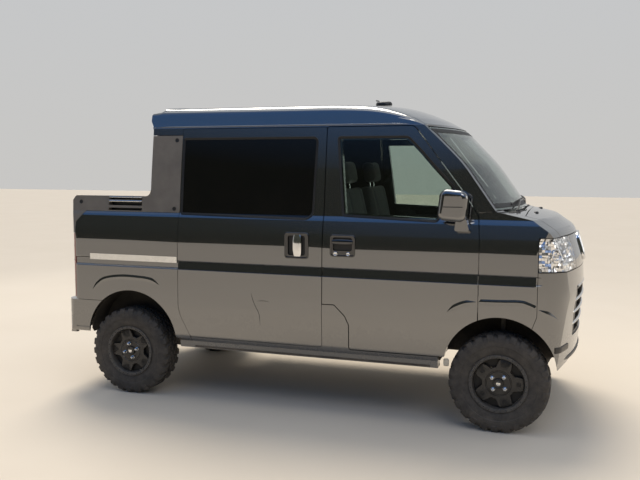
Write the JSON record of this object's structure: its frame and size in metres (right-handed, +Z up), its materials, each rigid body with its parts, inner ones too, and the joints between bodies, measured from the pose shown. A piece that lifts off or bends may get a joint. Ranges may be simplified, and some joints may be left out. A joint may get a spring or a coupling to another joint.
{
  "type": "pickup truck",
  "caption": "Crew-cab microtruck with a short open bed, upright bowed nose, hinged front doors, sliding rear doors, drop tailgate and knobbly raised tyres.",
  "frame": {"origin": "on the ground under the middle of the overall length", "axes": "+X forward along the length, +Y to the left, +Z up"},
  "size_m": [3.3911, 1.724, 1.9566],
  "materials": {
    "body_paint": "gloss black clear-coated enamel",
    "structure": "satin black enamel on hidden structure",
    "matte_trim": "grained dark grey moulding",
    "glass_clear": "clear, faintly green",
    "glass_dark": "privacy tint, nearly black",
    "chrome_trim": "bright plated",
    "lamp_clear": "clear lens over a bright reflector",
    "lamp_red": "red lens",
    "rail_silver": "pale anodised strip",
    "grille_black": "black moulding",
    "housing_black": "coarse black liner",
    "bed_lining": "black bed, lightly worn",
    "interior_trim": "grained dark grey",
    "seat_cloth": "woven grey cloth",
    "chassis_black": "satin black underbody coating",
    "cast_metal": "dull cast metal",
    "pipe_steel": "heat-dulled steel",
    "cooler": "finned dull aluminium",
    "wheel_black": "satin black powder coat",
    "tyre": "dusty black rubber"
  },
  "bodies": {
    "body": {"body_side_right": "body_paint", "body_side_left": "body_paint", "cross_rails": "body_paint", "roof": "body_paint", "floor_pan": "interior_trim", "cab_rear_wall": "body_paint", "rear_window": "glass_dark", "windshield": "glass_clear", "cowl": "body_paint", "radiator_support": "structure", "radiator": "cooler", "wheel_housings_front": "housing_black", "wheel_housings_rear": "housing_black", "fenders": "body_paint", "front_bumper": "body_paint", "grille": "grille_black", "nose_panel": "body_paint", "headlamps": "lamp_clear", "sliding_door_right": "body_paint", "sliding_door_left": "body_paint", "sliding_glass": "glass_dark", "sliding_handles": "chrome_trim", "rail_covers": "rail_silver", "quarter_panels": "body_paint", "bed_guards": "matte_trim", "bed_floor": "bed_lining", "tail_lamps": "lamp_red", "rear_bumper": "body_paint", "front_seats": "seat_cloth", "rear_seat": "seat_cloth", "dashboard": "interior_trim", "steering_wheel": "interior_trim", "engine_block": "cast_metal", "chassis_frame": "chassis_black", "front_suspension": "chassis_black", "rear_axle": "chassis_black", "fuel_tank": "chassis_black", "exhaust": "pipe_steel"},
    "door_right": {"door_right": "body_paint", "door_glass_right": "glass_clear", "mirror_right": "body_paint", "handle_right": "chrome_trim"},
    "door_left": {"door_left": "body_paint", "door_glass_left": "glass_clear", "mirror_left": "body_paint", "handle_left": "chrome_trim"},
    "hood": {"hood": "body_paint"},
    "tailgate": {"tailgate": "body_paint"},
    "knuckle_right": {"knuckle_right": "cast_metal"},
    "knuckle_left": {"knuckle_left": "cast_metal"},
    "wheel_front_right": {"tyre_front_right": "tyre", "rim_front_right": "wheel_black"},
    "wheel_front_left": {"tyre_front_left": "tyre", "rim_front_left": "wheel_black"},
    "wheel_rear_right": {"tyre_rear_right": "tyre", "rim_rear_right": "wheel_black"},
    "wheel_rear_left": {"tyre_rear_left": "tyre", "rim_rear_left": "wheel_black"}
  },
  "joints": [
    {"name": "door_right_hinge", "type": "hinge", "parent": "body", "child": "door_right", "pos_m": [1.1045, -0.7405, 0.9], "axis": [0, 0, 1], "range_deg": [0, 65]},
    {"name": "door_left_hinge", "type": "hinge", "parent": "body", "child": "door_left", "pos_m": [1.1045, 0.7405, 0.9], "axis": [0, 0, -1], "range_deg": [0, 65]},
    {"name": "tailgate_hinge", "type": "hinge", "parent": "body", "child": "tailgate", "pos_m": [-1.6565, 0, 0.655], "axis": [0, -1, 0], "range_deg": [0, 90]},
    {"name": "hood_hinge", "type": "hinge", "parent": "body", "child": "hood", "pos_m": [1.366, 0, 1.285], "axis": [0, -1, 0], "range_deg": [0, 45]},
    {"name": "steer_right", "type": "hinge", "parent": "body", "child": "knuckle_right", "pos_m": [1.2375, -0.558, 0.212], "axis": [0, 0.2204, 0.9754], "range_deg": [-32, 32]},
    {"name": "steer_left", "type": "hinge", "parent": "body", "child": "knuckle_left", "pos_m": [1.2375, 0.558, 0.212], "axis": [0, -0.2204, 0.9754], "range_deg": [-32, 32]},
    {"name": "spin_front_right", "type": "hinge", "parent": "knuckle_right", "child": "wheel_front_right", "pos_m": [1.2375, -0.6275, 0.292], "axis": [0, 1, 0], "continuous": true},
    {"name": "spin_front_left", "type": "hinge", "parent": "knuckle_left", "child": "wheel_front_left", "pos_m": [1.2375, 0.6275, 0.292], "axis": [0, 1, 0], "continuous": true},
    {"name": "spin_rear_right", "type": "hinge", "parent": "body", "child": "wheel_rear_right", "pos_m": [-1.2125, -0.6275, 0.292], "axis": [0, 1, 0], "continuous": true},
    {"name": "spin_rear_left", "type": "hinge", "parent": "body", "child": "wheel_rear_left", "pos_m": [-1.2125, 0.6275, 0.292], "axis": [0, 1, 0], "continuous": true}
  ],
  "couplings": [
    {"joint": "steer_left", "follows": "steer_right", "ratio": 1}
  ]
}
